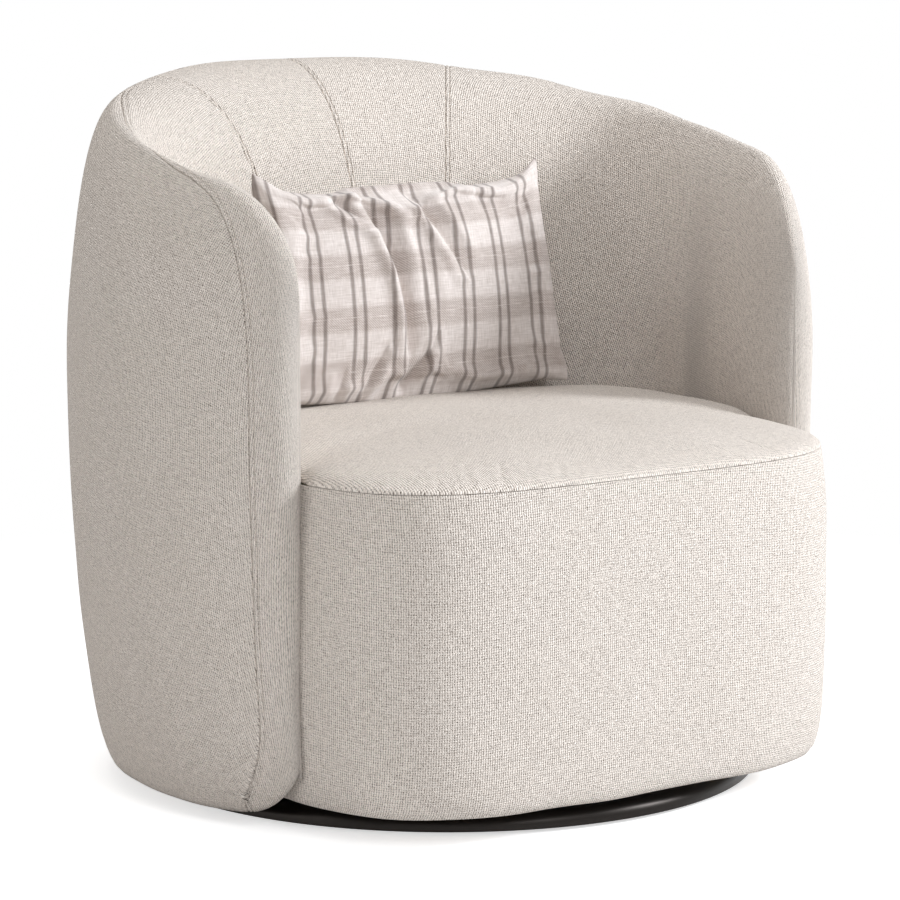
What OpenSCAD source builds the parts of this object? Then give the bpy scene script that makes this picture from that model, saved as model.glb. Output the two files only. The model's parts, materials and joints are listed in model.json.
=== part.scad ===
// Swivel tub armchair with a wrap-round back, a deep seat, a low round plinth
// and a small loose lumbar pillow. Millimetres, Z up, front towards -Y.
// The origin is on the floor at the swivel axis.

/* [Tub shell] */
// Half of the width over the arms, at the widest level
tub_half_w = 404; // [398:1:410]
// Reach of the back's outside behind the swivel axis
back_reach = 382; // [376:1:390]
// Thickness of the arms at the sides, from the widest line to the inside
arm_thick = 94; // [91:1:100]
// Distance from the swivel axis to the inside of the back
back_inner = 155; // [148:1:165]
// Height of the back's top roll
back_h = 741; // [720:1:760]
// Height that the arm's top roll falls towards
arm_h = 624; // [610:1:640]
// Level where the outside is widest
widest_h = 409; // [400:1:418]
// Height of the upholstery's lower edge above the floor
hem_h = 14; // [12:1:16]
// Plan angle at which the arms' fronts end, counted from the middle of the back
arm_end_deg = 121.8; // [121:0.1:122.2]

/* [Seat] */
// How far the seat block reaches at each side beyond the inside of the arms
seat_over = 9; // [7:1:12]
// Distance from the swivel axis to the front of the seat
seat_front = 357; // [352:1:364]
// Height of the seam along the seat's front edge
seat_seam_h = 355; // [348:1:360]
// Height of the crown in the middle of the seat
seat_crown_h = 392; // [386:1:394]

/* [Plinth and swivel] */
// Radius of the round plinth
plinth_r = 330; // [322:1:331]
// Height of the plinth's steel pan
plinth_h = 18; // [17:0.5:18]
// Thickness of the steel of the pan
pan_t = 1.6; // [1.2:0.1:2]
// Height of the floor glides below the pan
glide_h = 4; // [4:0.5:5]
// Diameter of a bearing ball
ball_d = 6; // [5.6:0.1:6.2]
// Radius of the circle of balls
race_r = 95; // [90:1:98]
// Number of balls
ball_n = 18; // [12:1:24]

/* [Frame] */
// Thickness of the plywood
ply = 18; // [16:0.5:18]
// Width of a webbing band
web_w = 60; // [50:1:64]

/* [Covers and pillow] */
// Thickness of the covers with their thin wadding
skin = 4; // [3:0.5:4.5]
// Width of the lumbar pillow from corner to corner
pillow_w = 385; // [370:1:392]
// Height of the lumbar pillow from corner to corner
pillow_h = 250; // [240:1:256]
// Thickness of the pillow in its middle
pillow_t = 100; // [86:1:102]

/* [Hidden] */
$fn = 96;
// vertical levels, from the floor up
z_pan = glide_h;
z_top = z_pan + plinth_h;
plate = 3.5;
gap = ball_d - 2;
z_low = z_top + plate;
z_up = z_low + gap;
z_panel = z_up + plate;
z_deck = z_panel + ply;
z_ball = z_low + gap / 2;
// plan shape of the tub
inner_half_w = tub_half_w - arm_thick;
seat_half_w = inner_half_w + seat_over;
n_out = 2.06;
n_in = 2.6;
n_ridge = 2.15;
out_front = 393;
in_front = 351;
ridge_half = tub_half_w - 54;
ridge_back = back_reach - 64;
ridge_front = 369;
inside_h = widest_h + 15;
nose0 = arm_end_deg - 15.7;
nose_p = 2.6;
m_low = 1.85;
m_top = 2.0;
m_in = 2.2;
hem_in = 46;
nose_lift = 73;
nose_drop = 100;
seam_deg = arm_end_deg - 6;
inner_low = 300;
nose_low = z_deck + 5.5;
// plan stations of the lofted pieces
nose_u = [0, 0.4, 0.62, 0.8, 0.93, 0.995];
noses = [for (u = nose_u) nose0 + (arm_end_deg - nose0) * u];
panel_deg = 35;
half = concat([0, 10, 20, 30, panel_deg, 40, 50, 60, 70, 80, 90, 100], noses);
rib_deg = [-98, -80, -60, -30, 0, 30, 60, 80, 98];
cloth_grey = [0.80, 0.77, 0.72];
wood = [0.78, 0.62, 0.42];
foam = [0.93, 0.88, 0.62];
steel = [0.55, 0.56, 0.58];

function mix(a, b, t) = a + (b - a) * t;
function lim(x) = min(max(x, 0), 1);
function ease(x, lo, hi) = let (t = lim((x - lo) / (hi - lo))) t * t * (3 - 2 * t);
function oval(t, a, b, n) = pow(pow(abs(sin(t)) / a, n) + pow(abs(cos(t)) / b, n), -1 / n);
function u_of(t) = lim((abs(t) - nose0) / (arm_end_deg - nose0));
function kk(t) = pow(max(1 - pow(u_of(t), nose_p), 0.0001), 1 / nose_p);
function out0(t) = oval(t, tub_half_w, abs(t) > 90 ? out_front : back_reach, n_out);
function in0(t) = oval(t, inner_half_w, abs(t) > 90 ? in_front : back_inner, n_in);
function rid0(t) = oval(t, ridge_half, abs(t) > 90 ? ridge_front : ridge_back, n_ridge);
function mid0(t) = (out0(t) + in0(t)) / 2;
function shrink(t, r) = mid0(t) + (r - mid0(t)) * kk(t);
function r_out(t) = shrink(t, out0(t));
function r_in(t) = shrink(t, in0(t));
function r_ridge(t) = shrink(t, rid0(t));
function top_h(t) = mix(back_h, arm_h, ease(abs(t), 9, 148))
    - nose_drop * (1 - pow(max(1 - pow(u_of(t), 2.2), 0.0001), 1 / 2.2));
function hem(t) = hem_h + nose_lift * pow(u_of(t), 3) * 0.75;

// A point of the skin at plan angle t, set in by d. The angle f runs from 90 at the
// hem, by 0 at the widest level, to 90 at the ridge.
function low_pt(t, f, d) = let (ro = r_out(t) - d,
        rb = ro - hem_in * kk(t) * (1 - 0.55 * pow(u_of(t), 8)), zb = hem(t) + d)
    [rb + (ro - rb) * pow(cos(f), 2 / m_low),
     widest_h - (widest_h - zb) * pow(sin(f), 2 / m_low)];
function up_pt(t, f, d) = let (ro = r_out(t) - d, rr = r_ridge(t), h = top_h(t) - d)
    [rr + (ro - rr) * pow(cos(f), 2 / m_top),
     widest_h + (h - widest_h) * pow(sin(f), 2 / m_top)];
function in_pt(t, f, d) = let (ri = r_in(t) + d, rr = r_ridge(t), h = top_h(t) - d)
    [rr - (rr - ri) * pow(cos(f), 2 / m_in),
     inside_h + (h - inside_h) * pow(sin(f), 2 / m_in)];
// radius of the outside at a given height, on the facets of the cover
low_f = [90, 68, 48, 28, 12];
in_f = [90, 66, 42, 18, 0];
function is_front(t) = abs(t) > seam_deg + 0.1;
function skin_pts(t, d) = concat([for (f = is_front(t) ? [90, 66, 30] : low_f) low_pt(t, f, d)],
    [for (f = is_front(t) ? [0, 30, 62] : [for (i = [0 : 4]) seam_f(t) * i / 4]) up_pt(t, f, d)]);
function out_at(t, z, d) = lookup(z, [for (p = skin_pts(t, d)) [p[1], p[0]]]);
// the seam between the outer and the inner cover runs just outside the ridge and
// turns down the outer corner of each arm's front
function seam_f(t) = let (x = lim((abs(t) - 80) / (seam_deg - 80))) max(85 * pow(1 - x * x * x, 0.4), 1.6);
function put(t, p) = [p[0] * sin(t), p[0] * cos(t), p[1]];
// inside line of the timber frame and its top
function r_frame(t) = mix(back_reach - 82, inner_half_w + 30, ease(abs(t), 0, 70));
function frame_h(t) = top_h(t) - 52;
function flip(v) = [for (i = [len(v) - 1 : -1 : 0]) v[i]];
function sided(v) = concat([for (a = flip(v)) -a], [for (a = v) if (a > 0) a]);
function span(lo, hi) = [for (a = half) if (a >= lo && a <= hi) a];

// closed body through like outlines, with flat ends; other turns the facets' diagonals,
// shell turns them on the outer half only, so that both faces of a sheet split alike
module loft(rows, other = false, shell = false) {
    m = len(rows[0]);
    n = len(rows);
    polyhedron(points = [for (r = rows) each r], faces = concat(
        [for (i = [0 : n - 2]) for (j = [0 : m - 1]) let (a = i * m + j, b = i * m + (j + 1) % m)
            each (other != (shell && j < m / 2) ? [[a, b, a + m], [b, b + m, a + m]] : [[a, b, b + m], [a, b + m, a + m]])],
        [for (c = shell ? strips(m) : [[for (j = [0 : m - 1]) j]]) each [flip(c), [for (j = c) (n - 1) * m + j]]]),
        convexity = 12);
}
// an end of a sheet, cut across so that no triangle leaves it
function strips(m) = [for (j = [0 : m / 2 - 2]) each [[j, j + 1, m - 2 - j], [j, m - 2 - j, m - 1 - j]]];
// closed body through level rings, with a fan at each end
module dome(rings, c0, c1) {
    m = len(rings[0]);
    n = len(rings);
    polyhedron(points = concat([for (r = rings) each r], [c0, c1]), faces = concat(
        [for (i = [0 : n - 2]) for (j = [0 : m - 1]) let (a = i * m + j, b = i * m + (j + 1) % m)
            each [[a, b, b + m], [a, b + m, a + m]]],
        [for (j = [0 : m - 1]) [j, n * m, (j + 1) % m]],
        [for (j = [0 : m - 1]) [(n - 1) * m + (j + 1) % m, n * m + 1, (n - 1) * m + j]]),
        convexity = 12);
}

// outline of the seat, front block first, then the line along the inner walls
seat_mid = (210 - seat_front) / 2;
seat_b = (210 + seat_front) / 2;
function block_pt(t, d) = let (a = seat_half_w - d, b = seat_b - d,
    r = pow(pow(abs(cos(t)) / a, 3.86) + pow(abs(sin(t)) / b, 3.86), -1 / 3.86))
    [r * cos(t), seat_mid + r * sin(t)];
t_side = 22.4;
front_t = [-t_side, -28, -34, -39, -44, -49, -56, -66, -78, -90, -102, -114, -124, -131, -136,
    -141, -146, -152, -180 + t_side];
wall_t = flip(sided([for (a = half) if (a < arm_end_deg - 1) a]));
function wall_pt(t, d) = let (r = r_in(t) - 0.6 - max(d - 6.6, 0)) [r * sin(t), r * cos(t)];
function outline(d) = concat([for (t = front_t) block_pt(t, d)], [for (t = flip(wall_t)) wall_pt(t, d)]);
n_front = len(front_t);
function seat_low_in(z) = 20.5 * (1 - pow(cos(asin(pow(lim((204 - z) / (204 - (hem_h + 16))), 1.6))), 0.625));

// level plan of the chassis panel
function notch(t) = 317 + max(0, abs(abs(t) - 113.5) - 9.5) * 13;
function plan_r(t) = min(notch(t), abs(t) < 114 ? out0(t) - hem_in + 1.8 : 999);
function panel_pts() = concat([for (t = [-112 : 4 : 112]) let (r = plan_r(t)) [r * sin(t), r * cos(t)]],
    [for (t = [-t_side - 7 : -4 : -180 + t_side + 7])
        let (p = block_pt(t, 18.5), r = norm(p), a = 180 - abs(atan2(p[0], -p[1])),
            s = min(1, notch(a) / r)) p * s]);

// Plinth
module pan_shape(d) {
    edge = min(15, plinth_h - 3);
    intersection() {
        union() {
            translate([0, z_pan]) square([plinth_r - edge, plinth_h - d]);
            translate([plinth_r - edge, z_top - edge]) circle(edge - d);
            translate([0, z_pan]) square([plinth_r - d, plinth_h - edge]);
        }
        translate([0, z_pan]) square([plinth_r, plinth_h]);
    }
}
module plinth_pan() {
    color([0.16, 0.15, 0.15]) difference() {
        rotate_extrude($fn = 180) union() {
            difference() { pan_shape(0); pan_shape(pan_t); }
            translate([plinth_r - 9, z_pan]) square([8, pan_t]);
        }
        translate([0, 0, z_top - 5]) cylinder(r = 8.15, h = 10);
        for (x = [-85, 85], y = [-85, 85]) translate([x, y, z_top - 5]) cylinder(r = 3.1, h = 10);
    }
}
board_z = z_pan + 2;
module plinth_board() {
    color(wood) difference() {
        translate([0, 0, board_z]) cylinder(r = plinth_r - 32, h = z_top - pan_t - board_z, $fn = 180);
        translate([0, 0, board_z + 3]) cylinder(r = 8, h = 30);
        for (x = [-85, 85], y = [-85, 85]) translate([x, y, board_z + 4]) cylinder(r = 3.1, h = 20);
        for (i = [0 : 5]) rotate(30 + 60 * i)
            translate([plinth_r - 60, 0, board_z - 1]) cylinder(r = 2.1, h = 10);
    }
}
// six screwed glides near the edge and a plain pad under the pivot
module floor_glides() {
    color([0.1, 0.1, 0.1]) cylinder(r = 18, h = board_z);
    color([0.1, 0.1, 0.1]) for (i = [0 : 5]) rotate(30 + 60 * i) translate([plinth_r - 60, 0, 0])
        difference() {
            union() {
                cylinder(r = 13, h = 1.5);
                translate([0, 0, 1.5]) cylinder(r = 15, h = board_z - 1.5);
            }
            translate([0, 0, -1]) cylinder(r = 5, h = 3.5);
            translate([0, 0, -1]) cylinder(r = 2.1, h = 20);
        }
}
module glide_screws() {
    color(steel) for (i = [0 : 5]) rotate(30 + 60 * i) translate([plinth_r - 60, 0, 0]) {
        translate([0, 0, 1]) cylinder(r = 4.2, h = 1.5);
        translate([0, 0, 2.4]) cylinder(r = 2, h = board_z + 4);
    }
}

// Swivel
module plate_shape() {
    difference() {
        union() {
            square([204, 164], center = true);
            square([164, 204], center = true);
            for (x = [-82, 82], y = [-82, 82]) translate([x, y]) circle(20);
        }
        circle(8.15);
        for (x = [-85, 85], y = [-85, 85]) translate([x, y]) circle(3.1);
    }
}
module race() {
    rotate_extrude($fn = 144) translate([race_r, z_ball]) circle(ball_d / 2 + 0.3, $fn = 48);
}
module lower_plate() {
    color(steel) difference() {
        translate([0, 0, z_top]) linear_extrude(plate) plate_shape();
        race();
    }
}
module upper_plate() {
    color(steel) difference() {
        translate([0, 0, z_up]) linear_extrude(plate) plate_shape();
        race();
    }
}
module lower_plate_bolts() {
    color([0.3, 0.3, 0.32]) for (x = [-85, 85], y = [-85, 85]) translate([x, y, 0]) {
        translate([0, 0, z_low]) cylinder(r = 7, h = gap - 1.5, $fn = 6);
        translate([0, 0, board_z + 4.5]) cylinder(r = 3, h = z_low - board_z - 4.4);
    }
}
module pivot_stud() {
    color(steel) {
        translate([0, 0, board_z + 3.2]) cylinder(r = 7.85, h = z_panel + 5 - board_z - 3.2);
        translate([0, 0, z_panel + 0.5]) cylinder(r = 15, h = 4.5);
    }
}
module ball_cage() {
    color([0.85, 0.84, 0.8]) difference() {
        translate([0, 0, z_ball - 1.2]) difference() {
            cylinder(r = race_r + 8, h = 2.4, $fn = 144);
            translate([0, 0, -1]) cylinder(r = race_r - 8, h = 5, $fn = 144);
        }
        for (i = [0 : ball_n - 1]) rotate(i * 360 / ball_n) translate([race_r, 0, z_ball - 4])
            cylinder(r = ball_d / 2 + 0.25, h = 8, $fn = 32);
    }
}
module bearing_balls() {
    color([0.75, 0.76, 0.78]) for (i = [0 : ball_n - 1]) rotate(i * 360 / ball_n)
        translate([race_r, 0, z_ball]) sphere(d = ball_d, $fn = 24);
}
module upper_plate_bolts() {
    color([0.3, 0.3, 0.32]) for (x = [-85, 85], y = [-85, 85]) translate([x, y, 0]) {
        translate([0, 0, z_deck]) cylinder(r = 11, h = 1.5);
        translate([0, 0, z_deck + 1.4]) cylinder(r = 7.5, h = 4.6, $fn = 6);
        translate([0, 0, z_up + 0.1]) cylinder(r = 3, h = z_deck - z_up);
    }
}

// Timber frame
module chassis_panel() {
    color(wood) translate([0, 0, z_panel]) difference() {
        linear_extrude(ply) polygon(panel_pts());
        translate([0, 0, -1]) cylinder(r = 30, h = ply + 2);
        for (x = [-85, 85], y = [-85, 85]) translate([x, y, -1]) cylinder(r = 3.1, h = ply + 2);
    }
}
module dust_cover() {
    color([0.08, 0.08, 0.08]) translate([0, 0, z_panel - 1.1]) difference() {
        cylinder(r = 286, h = 1, $fn = 120);
        translate([0, 0, -1]) cylinder(r = 160, h = 3, $fn = 120);
    }
}
module rib(t) {
    lo = z_deck;
    hi = frame_h(abs(t) + 1.5) - 0.1;
    d = skin + 2.2;
    zs = concat([lo], [for (p = skin_pts(t, d)) if (p[1] > lo + 1 && p[1] < hi - 1) p[1]], [hi]);
    pts = concat([for (z = zs) [out_at(t, z, d), z]], [[r_frame(t) + 0.8, hi], [r_frame(t) + 0.8, lo]]);
    color(wood) rotate([90, 0, 90 - t]) translate([0, 0, -ply / 2]) linear_extrude(ply) polygon(pts);
}
module top_rail() {
    color(wood) loft([for (t = flip(sided([for (a = half) if (a <= 100) a])))
        let (z = frame_h(t) + 0.3, r = out_at(t, z + ply, skin + 1))
        [for (p = [[r_frame(t), z], [r, z], [r, z + ply], [r_frame(t), z + ply]]) put(t, p)]]);
}
function band(d0, d1) = let (v = sided([for (a = half) if (a <= 100) a]))
    concat([for (t = v) [(r_frame(t) - d0) * sin(t), (r_frame(t) - d0) * cos(t)]],
        [for (t = flip(v)) [(r_frame(t) - d1) * sin(t), (r_frame(t) - d1) * cos(t)]]);
module mid_rail() {
    color(wood) translate([0, 0, inner_low - ply - 6]) linear_extrude(ply) polygon(band(0.6, 20));
}
module back_webbing() {
    color([0.2, 0.2, 0.22]) for (z = [430, 540]) translate([0, 0, z]) linear_extrude(web_w)
        polygon(band(0.6, 2.1));
}
box_x = seat_half_w - 57;
box_y = seat_front - 57;
box_h = 232;
rear_y = 100;
// the front board is bent to the plan of the seat block
bent_d = 39;
side_y = block_pt(-t_side, bent_d)[1];
module front_board() {
    color(wood) translate([0, 0, z_deck]) linear_extrude(box_h - z_deck) polygon(concat(
        [for (t = front_t) block_pt(t, bent_d)], [for (t = flip(front_t)) block_pt(t, bent_d + ply)]));
}
module rear_board() {
    color(wood) translate([-box_x, rear_y, z_deck]) cube([2 * box_x, ply, box_h - z_deck]);
}
module left_board() {
    color(wood) translate([-box_x - ply, side_y + 8, z_deck])
        cube([ply, rear_y + ply - side_y - 8, box_h - z_deck]);
}
module right_board() {
    color(wood) translate([box_x, side_y + 8, z_deck])
        cube([ply, rear_y + ply - side_y - 8, box_h - z_deck]);
}
module corner_blocks() {
    color(wood) for (s = [0, 1]) mirror([s, 0, 0]) {
        translate([box_x, rear_y, box_h - 60]) linear_extrude(45) polygon([[0, 0], [-55, 0], [0, -55]]);
        translate([0, 0, box_h - 60]) linear_extrude(45) polygon(concat(
            [for (t = [-t_side, -28, -34]) block_pt(t, bent_d + ply)],
            [[box_x - 45, block_pt(-34, bent_d + ply)[1] + 5], [box_x - 45, side_y + 60],
                [box_x, side_y + 60]]));
    }
}
module webbing_long() {
    a = seat_half_w - bent_d;
    color([0.2, 0.2, 0.22]) for (i = [-2 : 2])
        let (y0 = seat_mid - (seat_b - bent_d) * pow(1 - pow((abs(i) * 96 + web_w / 2) / a, 3.86), 1 / 3.86))
            translate([i * 96 - web_w / 2, y0 + 1, box_h]) cube([web_w, rear_y + ply - y0 - 1, 1.5]);
}
module webbing_cross() {
    color([0.2, 0.2, 0.22]) for (i = [0 : 2]) translate([-box_x - ply, side_y + 2 + i * 95, box_h + 1.6])
        cube([2 * box_x + 2 * ply, web_w, 1.5]);
}

// Seat
pad_t = [for (i = [1 : n_front - 2]) front_t[i]];
module front_pad() {
    zs = [z_deck + 0.6, 75, 130, 204, box_h - 0.5];
    color(foam) loft([for (t = flip(pad_t)) concat(
        [for (z = zs) let (p = block_pt(t, skin + 1 + seat_low_in(z))) [p[0], p[1], z]],
        [for (z = [box_h - 0.5, z_deck + 0.6]) let (p = block_pt(t, 38.6)) [p[0], p[1], z]])]);
}
seat_c = [0, -60];
function crown(s) = pow(1 - pow(s, 2.6), 1 / 2.2);
function edge_h(i) = i < n_front ? seat_seam_h + 1.5
    : mix(seat_seam_h + 1.5, seat_seam_h + 11, lim((i - n_front + 1) / 3) * lim((n_all - i) / 3));
n_all = n_front + len(wall_t);
function seat_ring(s, d, dz) = let (o = outline(d))
    [for (i = [0 : n_all - 1]) [mix(seat_c[0], o[i][0], s), mix(seat_c[1], o[i][1], s),
        edge_h(i) + (seat_crown_h - edge_h(i)) * crown(s) - dz]];
seat_s = [1, 0.985, 0.95, 0.89, 0.77, 0.55, 0.28];
under_s = [1, 0.95, 0.77, 0.4];
module seat_foam() {
    sides = [[skin + 1.2, box_h + 3.4], [skin + 2, 280], [skin + 8.2, 322], [skin + 8.4, seat_seam_h - 7]];
    color(foam) dome(concat([for (q = sides) [for (p = outline(q[0])) [p[0], p[1], q[1]]]],
        [for (s = [0.95, 0.77, 0.4]) seat_ring(s, 8.1 * s + skin, skin + 0.8)]),
        [0, -60, box_h + 3.4], [0, -60, seat_crown_h - skin - 1]);
}
module seat_top() {
    o0 = outline(7.5);
    o1 = outline(7.5 + skin);
    low = [for (i = [0 : n_all - 1]) i < n_front ? seat_seam_h + 3.3
        : edge_h(i) - 30 * lim((i - n_front + 1) / 2) * lim((n_all - i) / 2)];
    color(cloth_grey) dome(concat(
        [for (s = flip(under_s)) seat_ring(s, 8.1 * s + skin, skin)],
        [[for (i = [0 : n_all - 1]) [o1[i][0], o1[i][1], low[i] - 3]]],
        [[for (i = [0 : n_all - 1]) [o0[i][0], o0[i][1], low[i] - 3]]],
        [for (s = seat_s) seat_ring(s, 7.5 * s, 0)]),
        [0, -60, seat_crown_h - skin], [0, -60, seat_crown_h]);
}
module seat_border() {
    zb = hem_h + 16.2;
    out = [[46, zb + 0.6], [24, zb], [seat_low_in(zb + 3), zb + 3], [seat_low_in(45), 45],
        [seat_low_in(75), 75],
        [seat_low_in(130), 130], [0, 204], [1, 280], [3.4, 330], [6.6, seat_seam_h - 4], [7.4, seat_seam_h]];
    inn = [[7.6 + skin, seat_seam_h - 1], [6.6 + skin, seat_seam_h - 6], [3.4 + skin, 330],
        [1 + skin, 280], [skin, 204],
        [seat_low_in(130) + skin, 130], [seat_low_in(75) + skin, 75], [seat_low_in(45) + skin, 45],
        [seat_low_in(zb + 3) + skin, zb + 2.3], [26, zb + 1.4], [46, zb + 1.6]];
    prof = concat(out, inn);
    color(cloth_grey) loft(shell = true, rows = [for (t = flip(front_t))
        [for (q = prof) let (p = block_pt(t, q[0])) [p[0], p[1], q[1]]]]);
}

// Back, arms and covers
module back_foam() {
    d = skin + 1.2;
    color(foam) loft([for (t = sided([0, 10, 20, 30, panel_deg, 40, 50, 60, 70, 80, 90])) let (h = top_h(t))
        [for (p = concat([[r_in(t) + d, inner_low + 2]], [for (f = flip(in_f)) in_pt(t, f, d)],
            [up_pt(t, seam_f(t), d)], [[out_at(t, h - 33, d), h - 33],
            [r_frame(t) - 2.8, h - 33], [r_frame(t) - 2.8, inner_low + 2]])) put(t, p)]]);
}
module sided_by(s) {
    if (s > 0) children();
    else mirror([1, 0, 0]) children();
}
module arm_foam(s) {
    ts = [100.1, 104, noses[0], noses[1], noses[3]];
    color(foam) sided_by(s) loft(other = s < 0, rows = [for (t = ts)
        let (d = skin + (t < 110 ? 1.2 : 5), zb = t < 105 ? nose_low + 1 : max(hem(t) + d, 33))
        [for (p = concat([[r_in(t) + d, nose_low + 0.5]], [for (f = flip(in_f)) in_pt(t, f, d)],
            [for (f = is_front(t) ? [62, 30, 0] : [seam_f(t), seam_f(t) / 2, 0]) up_pt(t, f, d)],
            [for (f = is_front(t) ? [30, 66] : [28, 68]) low_pt(t, f, d)], [[out_at(t, zb + 2, d), zb + 2]])) put(t, p)]]);
}
module hem_welt() {
    color(foam) loft([for (t = flip(sided([for (a = half) if (a <= 100) a]))) let (r = r_out(t), z = z_panel)
        [for (p = [[r - 60, z - 0.4], [r - 52, z - 9], [r - 47.6, z - 9], [r - 43.4, z - 0.4]]) put(t, p)]]);
}
module outer_cover() {
    ts = sided([for (a = half) if (a <= seam_deg - 0.2) a]);
    st = concat([-seam_deg], ts, [seam_deg]);
    color(cloth_grey) loft(shell = true, rows = [for (t = flip(st))
        [for (p = concat(skin_pts(t, 0), flip(skin_pts(t, skin)))) put(t, p)]]);
}
// part of the inner cover between two plan angles
function in_row(t, d) = let (front = is_front(t), sf = seam_f(t) + 1.2, lo = abs(t) < 103 ? inner_low : nose_low)
    concat(front ? [for (f = [90, 66, 30]) low_pt(t, f, d)] : [for (i = [0 : 2]) up_pt(t, mix(sf, 90, i / 8), d)],
        front ? [for (f = [0, 30, 62]) up_pt(t, f, d)] : [for (i = [3 : 5]) up_pt(t, mix(sf, 90, i / 8), d)],
        [for (f = in_f) in_pt(t, f, d)], [[r_in(t) + d, lo]]);
module inner_part(ts, s) {
    color(cloth_grey) loft(other = true, shell = true, rows = [for (t = s > 0 ? flip(ts) : ts)
        [for (p = concat(in_row(t, 0), flip(in_row(t, skin)))) put(s * t, p)]]);
}
// each arm's cover is the part above the seam and the part round the front
module inner_arm(s) {
    back = concat([panel_deg + 0.15], [for (a = half) if (a > panel_deg && a < seam_deg - 0.1) a], [seam_deg]);
    front = concat([seam_deg + 0.12], [for (a = half) if (a > seam_deg + 1) a]);
    inner_part(back, s);
    inner_part(front, s);
}
module inner_back(s) {
    inner_part([0.15, 10, 20, 30, panel_deg - 0.15], s);
}

// Pillow
pil_c = [18, 101, 508.4];
lean = 9.5;
// outline drawn in between the pointed corners, with a dent pressed into the top
function pil_pt(u, v, side, d) = let (
        w = pillow_w / 2 - d, h = pillow_h / 2 - d, th = pillow_t / 2 - d,
        x = w * u * (1 - 0.055 * (1 - v * v) * pow(abs(u), 3)),
        y = h * v * (1 - 0.06 * (1 - u * u) * pow(abs(v), 3)) - (v > 0 ? 9 * v * exp(-pow(u * 3.2, 2)) : 0),
        e = pow(max(1 - pow(abs(u), 2.4), 0), 0.62) * pow(max(1 - pow(abs(v), 2.2), 0), 0.6),
        dent = side < 0 ? 1 : 1 - 0.22 * exp(-pow((u + 0.02) * 6, 2)) * (0.35 + 0.65 * lim(v + 0.4)))
    [x, y, side * th * e * dent];
module placed() {
    translate(pil_c) rotate([90 - lean, 0, 0]) children();
}
function cosines(n) = [for (i = [0 : n]) -cos(180 * i / n)];
// two triangles of a cell, turned so that at every corner they share the corner's diagonal
function split(a, b, c, d, turn) = turn ? [[a, b, d], [b, c, d]] : [[a, b, c], [a, c, d]];
// one side of the pillow's cover, a curved sheet that ends flat at the edge seam
module pillow_panel(side, nu, nv) {
    m = nv + 1;
    k = (nu + 1) * m;
    skin_pts = [for (d = [0, 2.5]) for (u = cosines(nu)) for (v = cosines(nv))
        let (p = pil_pt(u, v, side, d)) [p[0], p[1], p[2] + side * 0.15]];
    rim = concat([for (i = [0 : nu - 1]) i * m], [for (j = [0 : nv - 1]) nu * m + j],
        [for (i = [nu : -1 : 1]) i * m + nv], [for (j = [nv : -1 : 1]) j]);
    n = len(rim);
    f = concat([for (i = [0 : nu - 1]) for (j = [0 : nv - 1])
            let (a = i * m + j, b = k + a, turn = (i < nu / 2) != (j < nv / 2))
            each concat(split(a, a + 1, a + m + 1, a + m, turn),
                [for (t = split(b, b + 1, b + m + 1, b + m, turn)) flip(t)])],
        [for (i = [0 : n - 1]) let (a = rim[i], b = rim[(i + 1) % n]) each [[a, b, k + b], [a, k + b, k + a]]]);
    placed() polyhedron(points = skin_pts, faces = side > 0 ? f : [for (q = f) flip(q)], convexity = 6);
}
module pillow_front() {
    color([0.78, 0.72, 0.68]) pillow_panel(1, 16, 10);
}
module pillow_back() {
    color([0.78, 0.72, 0.68]) pillow_panel(-1, 16, 10);
}
module pillow_insert() {
    nu = 10;
    nv = 8;
    m = nv + 1;
    us = cosines(nu);
    vs = cosines(nv);
    pa = [for (u = us) for (v = vs) pil_pt(u, v, 1, 4.6)];
    back = [for (i = [1 : nu - 1]) for (j = [1 : nv - 1]) pil_pt(us[i], vs[j], -1, 4.6)];
    function bi(i, j) = (i == 0 || j == 0 || i == nu || j == nv)
        ? i * m + j : len(pa) + (i - 1) * (nv - 1) + j - 1;
    cells = [for (i = [0 : nu - 1]) for (j = [0 : nv - 1]) [i, j]];
    function turned(q) = (q[0] < nu / 2) != (q[1] < nv / 2);
    color([0.95, 0.95, 0.95]) placed() polyhedron(points = concat(pa, back), faces = concat(
        [for (q = cells) let (a = q[0] * m + q[1]) each split(a, a + 1, a + m + 1, a + m, turned(q))],
        [for (q = cells) let (i = q[0], j = q[1]) each [for (t = split(bi(i, j), bi(i, j + 1),
            bi(i + 1, j + 1), bi(i + 1, j), turned(q))) flip(t)]]), convexity = 6);
}

plinth_pan();
plinth_board();
floor_glides();
glide_screws();
lower_plate();
lower_plate_bolts();
pivot_stud();
ball_cage();
bearing_balls();
upper_plate();
upper_plate_bolts();
chassis_panel();
dust_cover();
for (i = [0 : 8]) rib(rib_deg[i]);
top_rail();
mid_rail();
back_webbing();
front_board();
rear_board();
left_board();
right_board();
corner_blocks();
webbing_long();
webbing_cross();
front_pad();
seat_foam();
seat_border();
seat_top();
back_foam();
arm_foam(-1);  // arm_foam_left
arm_foam(1);  // arm_foam_right
hem_welt();
outer_cover();
inner_arm(-1);  // inner_left_arm
inner_back(-1);  // inner_left_back
inner_back(1);  // inner_right_back
inner_arm(1);  // inner_right_arm
pillow_front();
pillow_back();
pillow_insert();
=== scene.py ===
import json
import math

import bmesh
import bpy
import numpy as np
from mathutils import Matrix, Vector
from mathutils.kdtree import KDTree


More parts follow.
